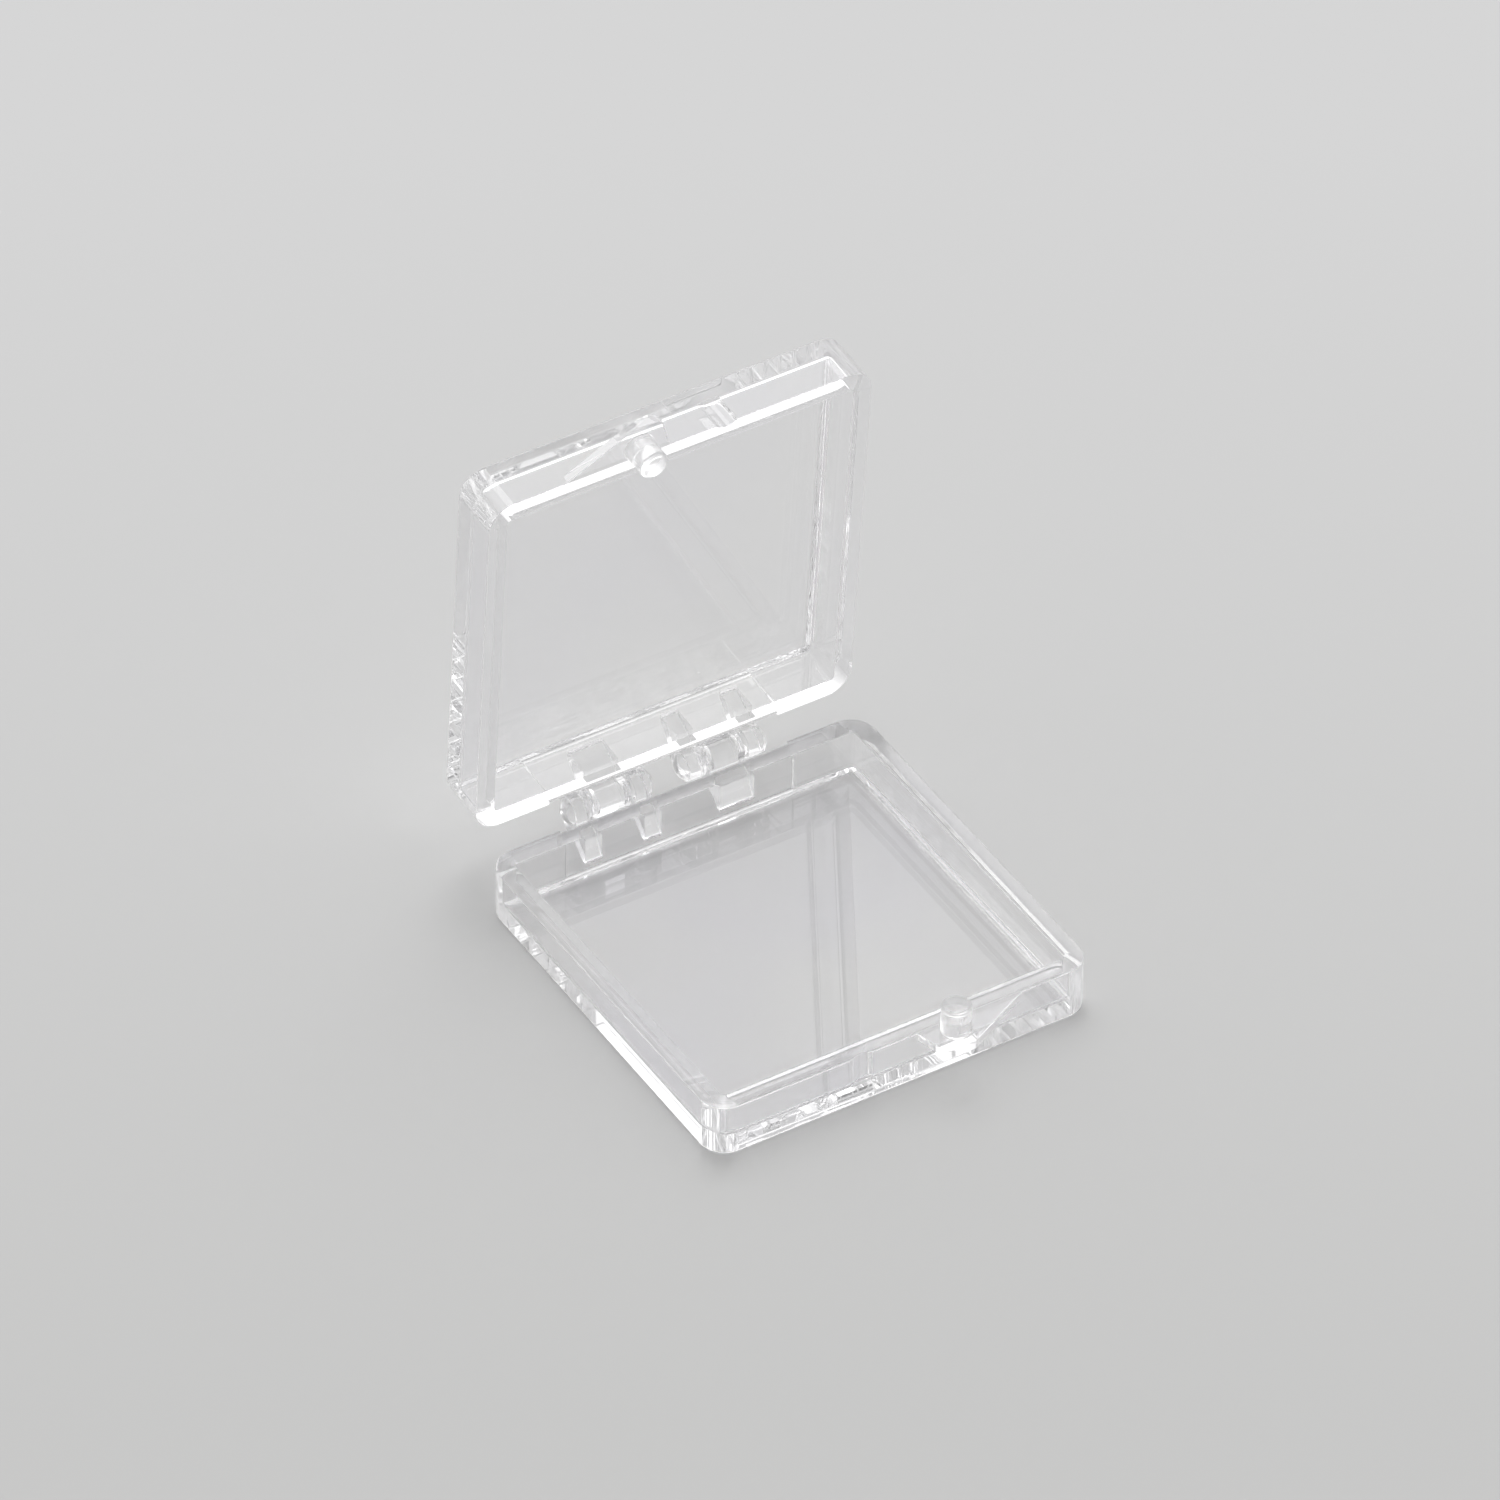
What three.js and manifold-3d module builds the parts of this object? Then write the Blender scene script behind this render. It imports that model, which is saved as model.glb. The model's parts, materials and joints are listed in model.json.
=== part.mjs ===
// Clear hinged coin capsule: two identical shallow trays, the lid being the base turned over.
// Millimetres, +Z up, +X along the front edge, +Y towards the hinge; origin under the base's centre.
// Rest pose: the lid stands open at OPENING degrees.
import * as THREE from 'three';
import { mergeVertices } from 'three/addons/utils/BufferGeometryUtils.js';
import Module from 'manifold-3d';

// tray
const WIDTH = 40;
const DEPTH = 40.4;
const HEIGHT = 5.55;
const WALL = 1.95;
const FLOOR = 1.15;
const CORNER_R = 2.6;
const CAVITY_CORNER_R = 0.4;
const FOOT_FILLET = 0.4;
const FLOOR_FILLET = 0.85;
const CORNER_STEPS = 7;
const FILLET_STEPS = 3;

// hinge
const RIM_GAP = 0.04;
const OPENING = 85.3;
const AXIS_Y = 22.03;
const AXIS_Z = HEIGHT + RIM_GAP / 2;
const KNUCKLE_R = 1.5;
const EAR_WIDTH = 1.8;
const EARS_X = [-9.2, -2.9];
const BALL_SHIFT = 0.15;
const BALL_STEPS = 32;
const BLOCK_X = 6.05;
const BLOCK_WIDTH = 3.7;
const PIN_R = 0.7;
const PIN_REACH = 0.8;
const SOCKET_R = 0.78;
const SOCKET_DEPTH = 0.55;
const RIB_FOOT_Z = 1.4;
const BACK_RECESS = 0.35;
const BACK_RECESS_HALF = 12.15;

// latch
const POST_X = 4.6;
const POST_Y = -21.34;
const POST_R = 1.45;
const POST_HEIGHT = 2.9;
const POST_EDGE = 0.45;
const GROOVE_R = 1.6;
const GROOVE_DEPTH = 3.3;
const TAB_THICK = 0.9;
const TAB_INNER_X = 1.3;
const TAB_TIP_X = [2.0, 5.2];
const TAB_OUTER_X = 12.2;
const TAB_REACH = 3.5;
const TAB_CORNER_R = 0.9;

const ROUND_STEPS = 40;
const BITE = 0.3;
const FRONT_Y = -DEPTH / 2;
const BACK_Y = DEPTH / 2;

const wasm = await Module();
wasm.setup();

// A ring of points round a rounded rectangle, `inset` inside the tray's outline.
function ring(inset, radius, z) {
  const points = [];
  const halfX = WIDTH / 2 - inset - radius;
  const halfY = DEPTH / 2 - inset - radius;
  for (let corner = 0; corner < 4; corner++) {
    const signX = corner === 0 || corner === 3 ? 1 : -1;
    const signY = corner < 2 ? 1 : -1;
    for (let step = 0; step <= CORNER_STEPS; step++) {
      const angle = (corner + step / CORNER_STEPS) * Math.PI / 2;
      const x = signX * halfX + radius * Math.cos(angle);
      const y = signY * halfY + radius * Math.sin(angle);
      points.push([x, y, z]);
    }
  }
  return points;
}

// A closed body through a list of equal rings, with a flat fan on the first and last ring.
function loft(rings) {
  const size = rings[0].length;
  const positions = rings.flat(2);
  const index = [];
  for (let row = 0; row + 1 < rings.length; row++) {
    for (let i = 0; i < size; i++) {
      const a = row * size + i;
      const b = row * size + (i + 1) % size;
      index.push(a, b, b + size, a, b + size, a + size);
    }
  }
  const last = (rings.length - 1) * size;
  for (let i = 1; i + 1 < size; i++) {
    index.push(0, i + 1, i);
    index.push(last, last + i, last + i + 1);
  }
  const geometry = new THREE.BufferGeometry();
  geometry.setAttribute('position', new THREE.Float32BufferAttribute(positions, 3));
  geometry.setIndex(index);
  return geometry;
}

// The open tray: foot fillet, outer wall, rim, inner wall, floor fillet.
function trayGeometry() {
  const rings = [];
  for (let step = 0; step <= FILLET_STEPS; step++) {
    const angle = step / FILLET_STEPS * Math.PI / 2;
    const inset = FOOT_FILLET * (1 - Math.sin(angle));
    rings.push(ring(inset, CORNER_R - inset, FOOT_FILLET * (1 - Math.cos(angle))));
  }
  rings.push(ring(0, CORNER_R, HEIGHT));
  rings.push(ring(WALL, CAVITY_CORNER_R, HEIGHT));
  for (let step = 0; step <= FILLET_STEPS; step++) {
    const angle = step / FILLET_STEPS * Math.PI / 2;
    const inset = FLOOR_FILLET * (1 - Math.cos(angle));
    const z = FLOOR + FLOOR_FILLET * (1 - Math.sin(angle));
    rings.push(ring(WALL + inset, CAVITY_CORNER_R * (1 - 0.6 * (inset / FLOOR_FILLET)), z));
  }
  return loft(rings);
}

// A profile in the YZ plane, drawn out along X and centred on `x`.
function alongX(profile, x, width) {
  const shape = new THREE.Shape(profile.map(([y, z]) => new THREE.Vector2(y, z)));
  const geometry = new THREE.ExtrudeGeometry(shape, { depth: width, bevelEnabled: false });
  const axes = new THREE.Matrix4().makeBasis(
    new THREE.Vector3(0, 1, 0),
    new THREE.Vector3(0, 0, 1),
    new THREE.Vector3(1, 0, 0),
  );
  return geometry.applyMatrix4(axes).translate(x - width / 2, 0, 0);
}

function cylinderAlongX(radius, x, width) {
  const geometry = new THREE.CylinderGeometry(radius, radius, width, ROUND_STEPS);
  return geometry.rotateZ(Math.PI / 2).translate(x, AXIS_Y, AXIS_Z);
}

// The rib that carries a knuckle, from low on the back wall up to the hinge axis.
function ribProfile() {
  const rootY = BACK_Y - BACK_RECESS - BITE;
  return [
    [rootY, RIB_FOOT_Z],
    [BACK_Y + 0.3, RIB_FOOT_Z],
    [AXIS_Y + 0.9, 3.6],
    [AXIS_Y + KNUCKLE_R * 0.98, AXIS_Z - 0.3],
    [AXIS_Y, AXIS_Z],
    [AXIS_Y - KNUCKLE_R * 0.75, AXIS_Z - 1.0],
    [rootY, AXIS_Z - 1.2],
  ];
}

function lug(x, width) {
  return [alongX(ribProfile(), x, width), cylinderAlongX(KNUCKLE_R, x, width)];
}

// A short pin on an ear's inner face, pointing along `side` into the other half's block.
function hingePin(earX, side) {
  const start = earX + side * (EAR_WIDTH / 2 - BITE);
  const length = PIN_REACH + BITE;
  return cylinderAlongX(PIN_R, start + side * length / 2, length);
}

function hingeSocket(side) {
  const depth = SOCKET_DEPTH + BITE;
  const start = BLOCK_X + side * (BLOCK_WIDTH / 2 + BITE);
  return cylinderAlongX(SOCKET_R, start - side * depth / 2, depth);
}

// The finger tab at rim level: one square side with a rounded corner, one long slanted side.
function tabGeometry() {
  const tipY = FRONT_Y - TAB_REACH;
  const shape = new THREE.Shape();
  shape.moveTo(TAB_INNER_X, FRONT_Y + BITE);
  shape.lineTo(TAB_OUTER_X, FRONT_Y + BITE);
  shape.lineTo(TAB_OUTER_X, FRONT_Y);
  shape.lineTo(TAB_TIP_X[1], tipY);
  const centreX = TAB_TIP_X[0] + TAB_CORNER_R;
  for (let step = 0; step <= 5; step++) {
    const angle = -Math.PI / 2 * (1 + step / 5);
    const x = centreX + TAB_CORNER_R * Math.cos(angle);
    const y = tipY + TAB_CORNER_R * (1 + Math.sin(angle));
    shape.lineTo(x, y);
  }
  shape.lineTo(TAB_INNER_X, FRONT_Y);
  const geometry = new THREE.ExtrudeGeometry(shape, { depth: TAB_THICK, bevelEnabled: false });
  return geometry.translate(0, 0, HEIGHT - TAB_THICK);
}

// The rounded knuckle at the end of an ear; `side` points away from the block between the ears.
function knuckleBall(x, side) {
  const geometry = new THREE.SphereGeometry(KNUCKLE_R, BALL_STEPS, BALL_STEPS / 2);
  return geometry.translate(x + side * BALL_SHIFT, AXIS_Y, AXIS_Z);
}

// The latch post: a short round peg with a rounded top edge, standing on the tab.
function postGeometry() {
  const profile = [new THREE.Vector2(0, -TAB_THICK / 2), new THREE.Vector2(POST_R, -TAB_THICK / 2)];
  for (let step = 0; step <= 8; step++) {
    const angle = step / 8 * Math.PI / 2;
    const radius = POST_R - POST_EDGE * (1 - Math.cos(angle));
    profile.push(new THREE.Vector2(radius, POST_HEIGHT - POST_EDGE * (1 - Math.sin(angle))));
  }
  profile.push(new THREE.Vector2(0, POST_HEIGHT));
  const geometry = new THREE.LatheGeometry(profile, ROUND_STEPS);
  return geometry.rotateX(Math.PI / 2).translate(POST_X, POST_Y, HEIGHT);
}

// The shallow groove in the front face that takes the other half's post.
function grooveGeometry() {
  const length = GROOVE_DEPTH + BITE;
  const geometry = new THREE.CylinderGeometry(GROOVE_R, GROOVE_R, length, ROUND_STEPS);
  return geometry.rotateX(Math.PI / 2).translate(-POST_X, POST_Y, HEIGHT + BITE - length / 2);
}

function backRecessGeometry() {
  const thick = BACK_RECESS * 2;
  const geometry = new THREE.BoxGeometry(2 * BACK_RECESS_HALF, thick, HEIGHT * 3);
  return geometry.translate(0, BACK_Y - BACK_RECESS + thick / 2, HEIGHT);
}

function toManifold(source) {
  const bare = new THREE.BufferGeometry();
  bare.setAttribute('position', source.getAttribute('position').clone());
  const count = source.getAttribute('position').count;
  bare.setIndex(source.index ? Array.from(source.index.array) : [...Array(count).keys()]);
  const merged = mergeVertices(bare, 1e-5);
  const corners = [];
  const index = merged.index.array;
  for (let i = 0; i < index.length; i += 3) {
    const [a, b, c] = [index[i], index[i + 1], index[i + 2]];
    if (a !== b && b !== c && c !== a) {
      corners.push(a, b, c);
    }
  }
  const mesh = new wasm.Mesh({
    numProp: 3,
    vertProperties: new Float32Array(merged.getAttribute('position').array),
    triVerts: new Uint32Array(corners),
  });
  return new wasm.Manifold(mesh);
}

function toGeometry(solid) {
  const mesh = solid.getMesh();
  const geometry = new THREE.BufferGeometry();
  geometry.setAttribute('position', new THREE.BufferAttribute(new Float32Array(mesh.vertProperties), 3));
  geometry.setIndex(Array.from(mesh.triVerts));
  geometry.computeVertexNormals();
  return geometry;
}

// One moulding; both halves of the capsule are this shape.
function mouldingGeometry() {
  const added = [
    ...EARS_X.flatMap((x) => lug(x, EAR_WIDTH)),
    ...lug(BLOCK_X, BLOCK_WIDTH),
    knuckleBall(EARS_X[0], -1),
    knuckleBall(EARS_X[1], 1),
    hingePin(EARS_X[0], 1),
    hingePin(EARS_X[1], -1),
    tabGeometry(),
    postGeometry(),
  ];
  const removed = [grooveGeometry(), hingeSocket(1), hingeSocket(-1)];
  let solid = toManifold(trayGeometry()).subtract(toManifold(backRecessGeometry()));
  for (const geometry of added) {
    solid = solid.add(toManifold(geometry));
  }
  for (const geometry of removed) {
    solid = solid.subtract(toManifold(geometry));
  }
  return toGeometry(solid);
}

// Turned over about Y onto the base, then swung open about the hinge axis.
function lidPlacement() {
  const turnedOver = new THREE.Matrix4().makeTranslation(0, 0, 2 * AXIS_Z);
  turnedOver.multiply(new THREE.Matrix4().makeRotationY(Math.PI));
  const swing = new THREE.Matrix4().makeTranslation(0, AXIS_Y, AXIS_Z);
  swing.multiply(new THREE.Matrix4().makeRotationX(THREE.MathUtils.degToRad(-OPENING)));
  swing.multiply(new THREE.Matrix4().makeTranslation(0, -AXIS_Y, -AXIS_Z));
  return swing.multiply(turnedOver);
}

function namedMesh(name, geometry) {
  const clear = new THREE.MeshStandardMaterial({ color: 0xe4e7ea, roughness: 0.06, metalness: 0 });
  clear.transparent = true;
  clear.opacity = 0.45;
  const mesh = new THREE.Mesh(geometry, clear);
  mesh.name = name;
  return mesh;
}

const capsule = new THREE.Group();
capsule.name = 'coin_capsule';
capsule.add(namedMesh('base_shell', mouldingGeometry()));
capsule.add(namedMesh('lid_shell', mouldingGeometry().applyMatrix4(lidPlacement())));

export default capsule;
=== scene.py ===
import json
import math

import bmesh
import bpy
from mathutils import Matrix, Vector


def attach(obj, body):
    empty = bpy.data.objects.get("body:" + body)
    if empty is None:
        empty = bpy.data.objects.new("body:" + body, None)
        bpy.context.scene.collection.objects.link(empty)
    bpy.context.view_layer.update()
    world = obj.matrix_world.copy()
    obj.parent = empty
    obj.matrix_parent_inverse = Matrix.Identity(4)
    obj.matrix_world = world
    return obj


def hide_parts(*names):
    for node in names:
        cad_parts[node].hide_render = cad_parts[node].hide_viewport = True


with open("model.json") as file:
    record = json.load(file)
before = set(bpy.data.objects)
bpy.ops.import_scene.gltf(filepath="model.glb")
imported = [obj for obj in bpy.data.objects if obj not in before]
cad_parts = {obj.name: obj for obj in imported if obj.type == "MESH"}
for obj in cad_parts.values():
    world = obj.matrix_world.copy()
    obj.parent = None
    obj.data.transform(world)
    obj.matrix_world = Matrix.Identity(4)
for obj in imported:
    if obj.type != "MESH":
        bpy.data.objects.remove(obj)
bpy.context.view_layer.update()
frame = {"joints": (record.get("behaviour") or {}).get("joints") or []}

# Clear hinged coin capsule. One moulding is made in millimetres, with the CAD part's dimensions, and used
# twice: as it is for the base, and turned over and swung open for the lid.
MM = 0.001

# ---- tray ----
WIDTH, DEPTH, HEIGHT = 40.0, 40.4, 5.55
FRONT_Y, BACK_Y = -DEPTH / 2, DEPTH / 2
WALL, FLOOR_THICK = 1.95, 1.15
CORNER_R, CAVITY_R = 2.6, 0.4
CAVITY_R_LOSS = 0.6  # the share of the cavity's corner radius that is gone where the fillet meets the floor
FOOT_FILLET, FLOOR_FILLET, RIM_ROUND = 0.4, 0.85, 0.06
BITE = 0.3  # how far a joined piece or a cutter runs past the surface it meets

# ---- hinge ----
lid_hinge = frame["joints"][0]
AXIS_Y, AXIS_Z = (round(metres / MM, 3) for metres in lid_hinge["pos_m"][1:])
OPENING = -lid_hinge["range_deg"][0]
KNUCKLE_R, KNUCKLE_FROM, KNUCKLE_TO = 1.5, -18, 212
EARS_X, EAR_WIDTH, BALL_SHIFT = (-9.2, -2.9), 1.8, 0.15
BLOCK_X, BLOCK_WIDTH = 6.05, 3.7
PIN_R, PIN_REACH, PIN_ROUND = 0.7, 0.8, 0.12
SOCKET_R, SOCKET_DEPTH = 0.78, 0.55
RECESS, RECESS_HALF, RECESS_MARGIN = 0.35, 12.15, 2.0
# a knuckle's rib, in (y, z): its foot from the back wall, and the corners beside the knuckle from the axis
RIB_FOOT_Z, RIB_TOE, RIB_HEEL = 1.4, 0.1, (0.35, 0.15)
RIB_OUTER, RIB_INNER, RIB_ROOT_DROP = (0.95, -1.85), (-1.5, -1.1), 1.25
RIB_BEVEL = 0.12

# ---- latch ----
POST_X, POST_Y, POST_R, POST_HEIGHT = 4.6, -21.34, 1.45, 2.9
POST_EDGE, POST_FOOT = 0.45, 0.15
GROOVE_R, GROOVE_DEPTH = 1.6, 3.3
TAB_THICK, TAB_REACH, TAB_CORNER_R, TAB_BEVEL = 0.9, 3.5, 0.9, 0.07
TAB_INNER_X, TAB_TIP_X, TAB_OUTER_X = 1.3, (2.0, 5.2), 12.2
TAB_DROP = 0.012  # keeps the tab's top from lying exactly in the plane of the rim
SATIN_MARGIN, SATIN_SINK = 0.05, 0.01

# ---- mesh fineness ----
CORNER_STEPS, FILLET_STEPS, EDGE_STEPS, ROUND_STEPS = 14, 9, 3, 64
KNUCKLE_STEPS, BALL_STEPS, TAB_CORNER_STEPS, POST_EDGE_STEPS = 40, 30, 8, 8
BEVEL_SEGMENTS = 3
MERGE_DISTANCE, SHARP_ANGLE = 0.002, 38

# ---- clear plastic; a noise is (scale per metre, detail, roughness) ----
PLASTIC_IOR = 1.59
HAZE_NOISE, HAZE_FROM, HAZE_ROUGHNESS = (160.0, 3.0, 0.6), (0.35, 0.75), 0.014
SCUFF_NOISE, SCUFF_FROM, SCUFF_ROUGHNESS = (1.0, 2.0, 0.5), (0.66, 0.78), 0.03
SCUFF_STRETCH, SCUFF_TURN = (2600.0, 240.0, 2600.0), (0.3, 0.2, 0.5)
SATIN_ROUGHNESS = 0.2
FLOW_NOISE = (45.0, 2.0, 0.5)
COOL_TINT, PLAIN_TINT = (0.3, (0.979, 0.976, 0.994, 1)), (0.7, (0.993, 0.992, 0.991, 1))
WAVE_NOISE, WAVE_STRENGTH, WAVE_HEIGHT = (240.0, 1.0, 0.4), 0.025, 0.00002

# ---- stage, in metres and degrees; azimuth 0 is the front, -Y, and 90 is +X ----
FLOOR_HALF, FLOOR_Z = 6.0, -0.00002  # just under the base, so that the two faces never coincide
FLOOR_ROUGHNESS, FLOOR_SPECULAR = 0.9, 0.2
# painted light on the floor: its colour is darker near the camera and lighter towards the softboxes behind
# the capsule
FLOOR_TOWARD_LIGHT, FLOOR_SPAN = (0.52, 0.857, 0.0), (-0.06, 0.12)
FLOOR_SHADED_NEAR, FLOOR_LIT_FAR = (0, (0.48, 0.48, 0.477, 1)), (1, (0.545, 0.545, 0.546, 1))
SKY_TOWARD, SKY_SPAN, SKY_LEVELS = (0.364, 0.606, 0.707), (-0.45, 0.95), (0.22, 1.36)
BOX_DISTANCE = 2.0
SOFTBOXES = (  # name, azimuth, elevation, long side, short side, radiance
    ("key_box", 149, 60, 1.3, 0.7, 2.2),
    ("top_box", 160, 76, 0.45, 0.45, 7.0),
)
VIEW_AZIMUTH, VIEW_ELEVATION, VIEW_ROLL = -31.383, 40.735, 0.2428
VIEW_DISTANCE, VIEW_RIGHT, VIEW_UP = 1.328188, -3.4723 * MM, 18.7603 * MM
SENSOR_WIDTH, FOCAL_LENGTH, CLIP_END = 36, 351.54, 100
BOUNCES = 160


# ---- mesh helpers ----
def link(obj):
    bpy.context.scene.collection.objects.link(obj)
    return obj


def object_from(bm, name):
    bmesh.ops.recalc_face_normals(bm, faces=bm.faces)
    mesh = bpy.data.meshes.new(name)
    bm.to_mesh(mesh)
    bm.free()
    return link(bpy.data.objects.new(name, mesh))


def quarter_turn(steps):
    """(sine, cosine) pairs at even steps over a quarter turn, both ends included."""
    angles = [step / steps * math.pi / 2 for step in range(steps + 1)]
    return [(math.sin(a), math.cos(a)) for a in angles]


def arc(centre, radius, start, end, steps):
    """Points on an arc from start to end, in degrees."""
    angles = [math.radians(start + (end - start) * i / steps) for i in range(steps + 1)]
    return [(centre[0] + radius * math.cos(a), centre[1] + radius * math.sin(a)) for a in angles]


def side_faces(bm, low, high):
    """Faces between two rows of vertices; a row of one vertex is a point."""
    size = max(len(low), len(high))
    for i in range(size):
        j = (i + 1) % size
        corners = (low[i % len(low)], low[j % len(low)], high[j % len(high)], high[i % len(high)])
        bm.faces.new(tuple(dict.fromkeys(corners)))


def ring(inset, radius, z):
    """The tray's outline moved in by inset, with that corner radius."""
    points = []
    half_x, half_y = WIDTH / 2 - inset - radius, DEPTH / 2 - inset - radius
    for corner, (sx, sy) in enumerate(((1, 1), (-1, 1), (-1, -1), (1, -1))):
        for step in range(CORNER_STEPS + 1):
            a = (corner + step / CORNER_STEPS) * math.pi / 2
            points.append((sx * half_x + radius * math.cos(a), sy * half_y + radius * math.sin(a), z))
    return points


def loft(rings, name):
    """A closed skin over a stack of rings, capped at both ends."""
    bm = bmesh.new()
    rows = [[bm.verts.new(point) for point in points] for points in rings]
    for low, high in zip(rows, rows[1:]):
        side_faces(bm, low, high)
    bm.faces.new(rows[0])
    bm.faces.new(rows[-1])
    return object_from(bm, name)


def prism(profile, place, depth, name, bevel=0.0):
    """A closed profile drawn out by depth; place turns (u, v, w) into (x, y, z)."""
    bm = bmesh.new()
    low, high = ([bm.verts.new(place(u, v, w)) for u, v in profile] for w in (0.0, depth))
    side_faces(bm, low, high)
    caps = [bm.faces.new(low), bm.faces.new(high)]
    bmesh.ops.recalc_face_normals(bm, faces=bm.faces)
    if bevel:
        edges = [edge for cap in caps for edge in cap.edges]
        bmesh.ops.bevel(bm, geom=edges, offset=bevel, segments=BEVEL_SEGMENTS, profile=0.5, affect="EDGES")
    return object_from(bm, name)


def revolve(profile, place, name):
    """A profile of (radius, along) pairs that starts and ends on the axis, turned once round."""
    bm = bmesh.new()
    angles = [2 * math.pi * i / ROUND_STEPS for i in range(ROUND_STEPS)]
    rows = []
    for radius, along in profile:
        turns = angles if radius else [0.0]
        rows.append([bm.verts.new(place(radius * math.cos(a), radius * math.sin(a), along)) for a in turns])
    for low, high in zip(rows, rows[1:]):
        side_faces(bm, low, high)
    return object_from(bm, name)


def turned_on_hinge(profile, name):
    """A (radius, x) profile turned about the hinge axis."""
    return revolve(profile, lambda u, v, w: (w, AXIS_Y + u, AXIS_Z + v), name)


def combine(target, tool, operation):
    """Joins the tool to the target, or cuts it out, and removes the tool."""
    modifier = target.modifiers.new("join", "BOOLEAN")
    modifier.operation = operation
    modifier.solver = "EXACT"
    modifier.object = tool
    depsgraph = bpy.context.evaluated_depsgraph_get()
    result = bpy.data.meshes.new_from_object(target.evaluated_get(depsgraph))
    target.modifiers.clear()
    target.data = result
    bpy.data.objects.remove(tool)


# ---- parts of the moulding ----
def tray():
    """Foot fillet, outer wall, rounded rim, inner wall and floor fillet, in that order."""
    rings = []
    for sin, cos in quarter_turn(FILLET_STEPS):
        inset = FOOT_FILLET * (1 - sin)
        rings.append(ring(inset, CORNER_R - inset, FOOT_FILLET * (1 - cos)))
    for sin, cos in quarter_turn(EDGE_STEPS):
        inset = RIM_ROUND * (1 - cos)
        rings.append(ring(inset, CORNER_R - inset, HEIGHT - RIM_ROUND * (1 - sin)))
    for sin, cos in quarter_turn(EDGE_STEPS):
        inset = WALL - RIM_ROUND * (1 - sin)
        rings.append(ring(inset, CAVITY_R + WALL - inset, HEIGHT - RIM_ROUND * (1 - cos)))
    for sin, cos in quarter_turn(FILLET_STEPS):
        inset = FLOOR_FILLET * (1 - cos)
        radius = CAVITY_R * (1 - CAVITY_R_LOSS * (inset / FLOOR_FILLET))
        rings.append(ring(WALL + inset, radius, FLOOR_THICK + FLOOR_FILLET * (1 - sin)))
    return loft(rings, "tray")


def back_recess():
    """A cutter for the shallow recess that the hinge stands in."""
    low, high = BACK_Y - RECESS, BACK_Y + RECESS_MARGIN
    profile = [(-RECESS_HALF, low), (RECESS_HALF, low), (RECESS_HALF, high), (-RECESS_HALF, high)]
    height = HEIGHT + 2 * RECESS_MARGIN
    return prism(profile, lambda u, v, w: (u, v, w - RECESS_MARGIN), height, "recess")


def lug(x, width):
    """A knuckle of that width, with the rib that carries it."""
    root = BACK_Y - RECESS - BITE
    profile = [(root, RIB_FOOT_Z), (BACK_Y + RIB_TOE, RIB_FOOT_Z)]
    profile += [(BACK_Y + RIB_HEEL[0], RIB_FOOT_Z + RIB_HEEL[1])]
    profile += [(AXIS_Y + RIB_OUTER[0], AXIS_Z + RIB_OUTER[1])]
    profile += arc((AXIS_Y, AXIS_Z), KNUCKLE_R, KNUCKLE_FROM, KNUCKLE_TO, KNUCKLE_STEPS)
    profile += [(AXIS_Y + RIB_INNER[0], AXIS_Z + RIB_INNER[1]), (root, AXIS_Z - RIB_ROOT_DROP)]
    return prism(profile, lambda u, v, w: (x - width / 2 + w, u, v), width, "lug", bevel=RIB_BEVEL)


def knuckle_ball(x, side):
    """The rounded end of an ear; side is the way that it faces along x."""
    centre = x + side * BALL_SHIFT
    angles = [math.pi * (step / BALL_STEPS - 0.5) for step in range(1, BALL_STEPS)]
    profile = [(KNUCKLE_R * math.cos(a), centre + KNUCKLE_R * math.sin(a)) for a in angles]
    return turned_on_hinge([(0.0, centre - KNUCKLE_R)] + profile + [(0.0, centre + KNUCKLE_R)], "ball")


def pin(x, side):
    """The pin of an ear, with a rounded end."""
    start = x + side * (EAR_WIDTH / 2 - BITE)
    end = start + side * (PIN_REACH + BITE)
    profile = [(0.0, start), (PIN_R, start)]
    for sin, cos in quarter_turn(EDGE_STEPS):
        profile.append((PIN_R - PIN_ROUND * (1 - cos), end - side * PIN_ROUND * (1 - sin)))
    profile.append((0.0, end))
    return turned_on_hinge(profile, "pin")


def socket(side):
    """A cutter for a socket in the hinge block's end on that side."""
    mouth = BLOCK_X + side * (BLOCK_WIDTH / 2 + BITE)
    end = mouth - side * (SOCKET_DEPTH + BITE)
    return turned_on_hinge([(0.0, mouth), (SOCKET_R, mouth), (SOCKET_R, end), (0.0, end)], "socket")


def tab():
    """The finger tab: square to the front beside the post, and sloping away to its other end."""
    tip_y, root_y = FRONT_Y - TAB_REACH, FRONT_Y + BITE
    corner = (TAB_TIP_X[0] + TAB_CORNER_R, tip_y + TAB_CORNER_R)
    bottom = HEIGHT - TAB_DROP - TAB_THICK
    profile = [(TAB_INNER_X, root_y), (TAB_OUTER_X, root_y), (TAB_OUTER_X, FRONT_Y), (TAB_TIP_X[1], tip_y)]
    profile += arc(corner, TAB_CORNER_R, -90, -180, TAB_CORNER_STEPS)
    profile += [(TAB_INNER_X, FRONT_Y)]
    return prism(profile, lambda u, v, w: (u, v, bottom + w), TAB_THICK, "tab", bevel=TAB_BEVEL)


def post():
    """The latch post, with a fillet at its foot and a rounded edge on top."""
    profile = [(0.0, -TAB_THICK / 2), (POST_R + POST_FOOT, -TAB_THICK / 2)]
    for sin, cos in quarter_turn(EDGE_STEPS):
        profile.append((POST_R + POST_FOOT * (1 - sin), POST_FOOT * (1 - cos)))
    for sin, cos in quarter_turn(POST_EDGE_STEPS):
        profile.append((POST_R - POST_EDGE * (1 - cos), POST_HEIGHT - POST_EDGE * (1 - sin)))
    profile.append((0.0, POST_HEIGHT))
    return revolve(profile, lambda u, v, w: (POST_X + u, POST_Y + v, HEIGHT + w), "post")


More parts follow.
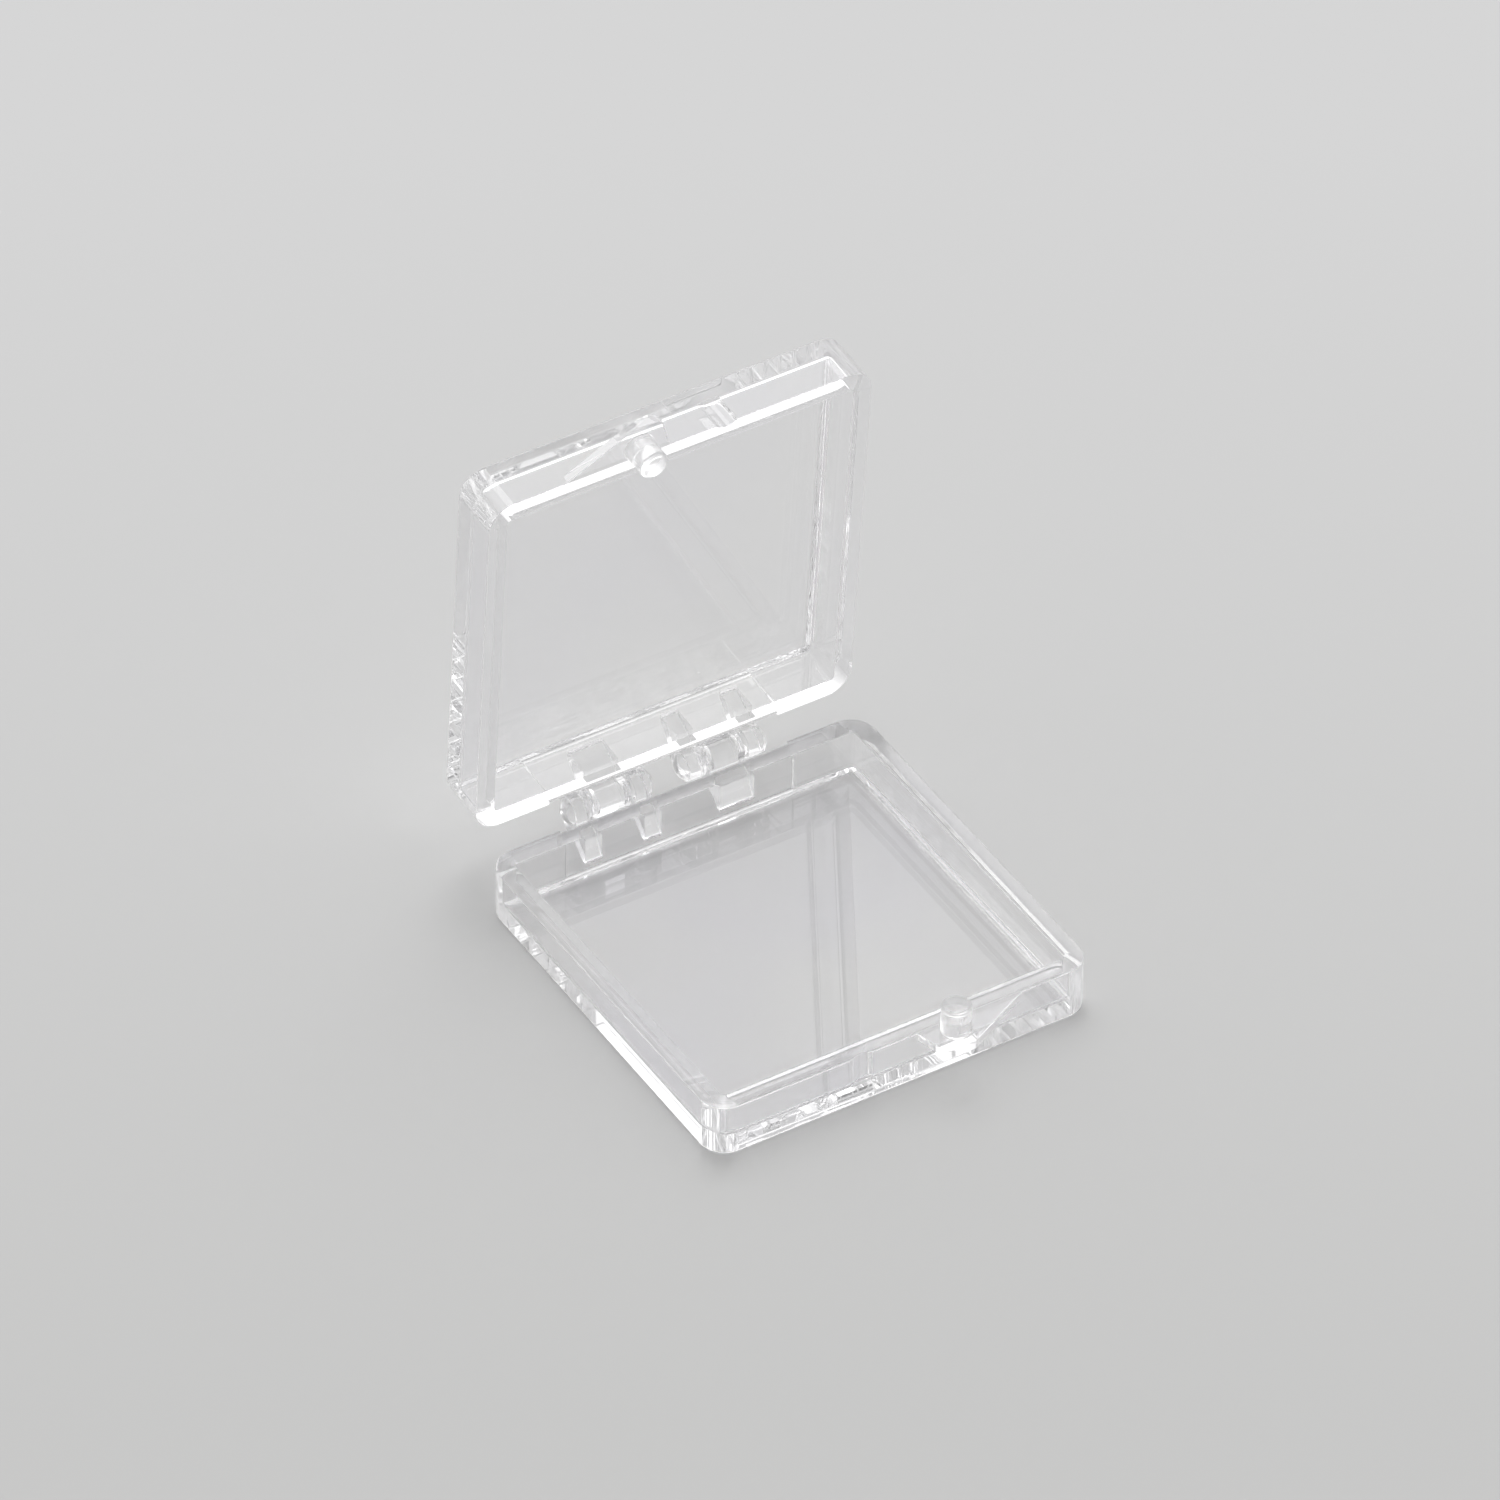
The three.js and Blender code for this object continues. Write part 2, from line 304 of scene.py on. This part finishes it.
def groove():
    """A cutter for the groove that takes the other half's post."""
    low, high = HEIGHT - GROOVE_DEPTH, HEIGHT + BITE
    profile = [(0.0, low), (GROOVE_R, low), (GROOVE_R, high), (0.0, high)]
    return revolve(profile, lambda u, v, w: (-POST_X + u, POST_Y + v, w), "groove")


def moulding():
    body = tray()
    combine(body, back_recess(), "DIFFERENCE")
    for x, outward in zip(EARS_X, (-1, 1)):
        combine(body, lug(x, EAR_WIDTH), "UNION")
        combine(body, knuckle_ball(x, outward), "UNION")
        combine(body, pin(x, -outward), "UNION")
    combine(body, lug(BLOCK_X, BLOCK_WIDTH), "UNION")
    for side in (1, -1):
        combine(body, socket(side), "DIFFERENCE")
    combine(body, tab(), "UNION")
    combine(body, post(), "UNION")
    combine(body, groove(), "DIFFERENCE")
    return body


def mark_satin(mesh):
    """Marks the faces of the latch post, which come out of the mould duller than the panels."""
    values = []
    for face in mesh.polygons:
        x, y, z = face.center
        over_post = math.hypot(x - POST_X, y - POST_Y) < POST_R + SATIN_MARGIN
        values.append(1.0 if over_post and z > HEIGHT - SATIN_SINK else 0.0)
    satin = mesh.attributes.new("satin", "FLOAT", "FACE")
    satin.data.foreach_set("value", values)


def finish_mesh(obj, matrix):
    """Puts a moulding in its place, in metres, with flat faces kept flat and fillets smooth."""
    mesh = obj.data
    bm = bmesh.new()
    bm.from_mesh(mesh)
    bmesh.ops.remove_doubles(bm, verts=bm.verts, dist=MERGE_DISTANCE)
    bm.to_mesh(mesh)
    bm.free()
    mark_satin(mesh)
    mesh.transform(Matrix.Scale(MM, 4) @ matrix)
    mesh.polygons.foreach_set("use_smooth", [True] * len(mesh.polygons))
    mesh.set_sharp_from_angle(angle=math.radians(SHARP_ANGLE))
    weighted = obj.modifiers.new("flat faces", "WEIGHTED_NORMAL")
    weighted.keep_sharp = True
    mesh.update()


# ---- shader nodes: each helper returns the output socket, but node and principled return what they make ----
def node(tree, kind, inputs, **settings):
    """A new node with its settings and its inputs, by name or number, filled in."""
    made = tree.nodes.new(kind)
    for key, value in settings.items():
        setattr(made, key, value)
    for key, value in inputs.items():
        made.inputs[key].default_value = value
    return made


def principled(name, inputs):
    """A new material and its Principled shader, with those inputs filled in."""
    material = bpy.data.materials.new(name)
    material.use_nodes = True
    shader = material.node_tree.nodes["Principled BSDF"]
    for key, value in inputs.items():
        shader.inputs[key].default_value = value
    return material, shader


def coordinates(tree, kind):
    return node(tree, "ShaderNodeTexCoord", {}).outputs[kind]


def noise(tree, place, recipe):
    scale, detail, roughness = recipe
    made = node(tree, "ShaderNodeTexNoise", {"Scale": scale, "Detail": detail, "Roughness": roughness})
    tree.links.new(place, made.inputs["Vector"])
    return made.outputs["Fac"]


def map_range(tree, value, span, levels=(0.0, 1.0)):
    """The value taken from span to levels, and held at their ends."""
    ends = {"From Min": span[0], "From Max": span[1], "To Min": levels[0], "To Max": levels[1]}
    made = node(tree, "ShaderNodeMapRange", ends)
    tree.links.new(value, made.inputs["Value"])
    return made.outputs["Result"]


def scale_and_add(tree, value, factor, added):
    made = node(tree, "ShaderNodeMath", {1: factor}, operation="MULTIPLY_ADD")
    tree.links.new(value, made.inputs[0])
    tree.links.new(added, made.inputs[2])
    return made.outputs["Value"]


def dot(tree, vector, direction):
    made = node(tree, "ShaderNodeVectorMath", {1: direction}, operation="DOT_PRODUCT")
    tree.links.new(vector, made.inputs[0])
    return made.outputs["Value"]


def colour_ramp(tree, value, *stops):
    """A ramp between two stops, each a position and a colour."""
    made = node(tree, "ShaderNodeValToRGB", {})
    for element, (position, colour) in zip(made.color_ramp.elements, stops):
        element.position = position
        element.color = colour
    tree.links.new(value, made.inputs["Fac"])
    return made.outputs["Color"]


# ---- materials ----
def clear_plastic(name):
    """Moulded clear polystyrene: handling haze and fine scuffs over a slightly wavy skin."""
    material, surface = principled(name, {"IOR": PLASTIC_IOR, "Transmission Weight": 1.0})
    tree = material.node_tree
    place = coordinates(tree, "Object")

    # haze: patches a little less polished, crossed by fine scuffs
    haze = map_range(tree, noise(tree, place, HAZE_NOISE), HAZE_FROM, (0.0, HAZE_ROUGHNESS))
    grain = node(tree, "ShaderNodeMapping", {"Scale": SCUFF_STRETCH, "Rotation": SCUFF_TURN})
    tree.links.new(place, grain.inputs["Vector"])
    scuffs = map_range(tree, noise(tree, grain.outputs["Vector"], SCUFF_NOISE), SCUFF_FROM)
    scuffed = scale_and_add(tree, scuffs, SCUFF_ROUGHNESS, haze)

    # the latch post comes out duller than the panels
    satin = node(tree, "ShaderNodeAttribute", {}, attribute_name="satin").outputs["Fac"]
    roughness = scale_and_add(tree, satin, SATIN_ROUGHNESS, scuffed)
    tree.links.new(roughness, surface.inputs["Roughness"])

    # a faint cool tint that varies with the moulding flow
    tint = colour_ramp(tree, noise(tree, place, FLOW_NOISE), COOL_TINT, PLAIN_TINT)
    tree.links.new(tint, surface.inputs["Base Color"])

    # flow waviness of the skin
    bump = node(tree, "ShaderNodeBump", {"Strength": WAVE_STRENGTH, "Distance": WAVE_HEIGHT})
    tree.links.new(noise(tree, place, WAVE_NOISE), bump.inputs["Height"])
    tree.links.new(bump.outputs["Normal"], surface.inputs["Normal"])
    return material


def floor_material():
    """Pale matt paper, with painted light: its colour runs a touch lighter towards the softboxes at the back.
    """
    inputs = {"Roughness": FLOOR_ROUGHNESS, "Specular IOR Level": FLOOR_SPECULAR}
    material, surface = principled("floor", inputs)
    tree = material.node_tree
    # painted light: the paper's colour grows lighter along the way towards the softboxes
    depth = map_range(tree, dot(tree, coordinates(tree, "Object"), FLOOR_TOWARD_LIGHT), FLOOR_SPAN)
    tree.links.new(colour_ramp(tree, depth, FLOOR_SHADED_NEAR, FLOOR_LIT_FAR), surface.inputs["Base Color"])
    return material


# ---- stage, light and camera ----
def toward(azimuth, elevation):
    """The unit vector from the capsule towards an azimuth and an elevation, in degrees."""
    azimuth, elevation = math.radians(azimuth), math.radians(elevation)
    level = Vector((math.sin(azimuth), -math.cos(azimuth), 0))
    return level * math.cos(elevation) + Vector((0, 0, math.sin(elevation)))


def add_floor():
    mesh = bpy.data.meshes.new("floor")
    corners = [(x * FLOOR_HALF, y * FLOOR_HALF, FLOOR_Z) for x, y in ((-1, -1), (1, -1), (1, 1), (-1, 1))]
    mesh.from_pydata(corners, [], [(0, 1, 2, 3)])
    mesh.materials.append(floor_material())
    return link(bpy.data.objects.new("floor", mesh))


def add_sky():
    """A studio that is lighter towards one side and darker towards the other."""
    world = bpy.data.worlds.new("studio")
    bpy.context.scene.world = world
    world.use_nodes = True
    tree = world.node_tree
    light = map_range(tree, dot(tree, coordinates(tree, "Generated"), SKY_TOWARD), SKY_SPAN, SKY_LEVELS)
    tree.links.new(light, tree.nodes["Background"].inputs["Color"])


def add_softbox(name, azimuth, elevation, long_side, short_side, radiance):
    light = bpy.data.lights.new(name, "AREA")
    light.shape = "RECTANGLE"
    light.size, light.size_y = long_side, short_side
    light.energy = radiance * math.pi * long_side * short_side
    direction = toward(azimuth, elevation)
    box = bpy.data.objects.new(name, light)
    box.location = direction * BOX_DISTANCE
    box.rotation_euler = (-direction).to_track_quat("-Z", "Y").to_euler()
    return link(box)


def add_camera():
    """A long lens at the photograph's viewing angle, a little rolled, with the capsule off its centre."""
    back = toward(VIEW_AZIMUTH, VIEW_ELEVATION)
    azimuth, roll = math.radians(VIEW_AZIMUTH), math.radians(VIEW_ROLL)
    level = Vector((math.cos(azimuth), math.sin(azimuth), 0))
    rise = back.cross(level)
    right = math.cos(roll) * level + math.sin(roll) * rise
    up = -math.sin(roll) * level + math.cos(roll) * rise
    eye = back * VIEW_DISTANCE + VIEW_RIGHT * right + VIEW_UP * up
    lens = bpy.data.cameras.new("camera")
    lens.sensor_width = SENSOR_WIDTH
    lens.lens = FOCAL_LENGTH
    lens.clip_end = CLIP_END
    camera = bpy.data.objects.new("camera", lens)
    camera.matrix_world = Matrix((
        (right.x, up.x, back.x, eye.x),
        (right.y, up.y, back.y, eye.y),
        (right.z, up.z, back.z, eye.z),
        (0, 0, 0, 1),
    ))
    return link(camera)


# ---- the capsule ----
base = moulding()
base.name = "base_moulding"
lid = link(bpy.data.objects.new("lid_moulding", base.data.copy()))
turned_over = Matrix.Translation((0, 0, 2 * AXIS_Z)) @ Matrix.Rotation(math.pi, 4, "Y")
swing = Matrix.Translation((0, AXIS_Y, AXIS_Z)) @ Matrix.Rotation(math.radians(-OPENING), 4, "X")
swing = swing @ Matrix.Translation((0, -AXIS_Y, -AXIS_Z))
finish_mesh(base, Matrix.Identity(4))
finish_mesh(lid, swing @ turned_over)
halves = ((base, "base", "base_shell", "clear_base"), (lid, "lid", "lid_shell", "clear_lid"))
for obj, body, shell, slot in halves:
    obj.data.materials.clear()
    obj.data.materials.append(clear_plastic(slot))
    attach(obj, body)
    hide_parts(shell)

# ---- the studio ----
floor = add_floor()
add_sky()
for softbox in SOFTBOXES:
    add_softbox(*softbox)
scene = bpy.context.scene
scene.camera = add_camera()
scene.view_settings.view_transform = "Standard"
scene.cycles.blur_glossy = 0.0  # the glass stays as clear in bounced light as it is to the camera
scene.cycles.max_bounces = BOUNCES
scene.cycles.glossy_bounces = BOUNCES
scene.cycles.transmission_bounces = BOUNCES
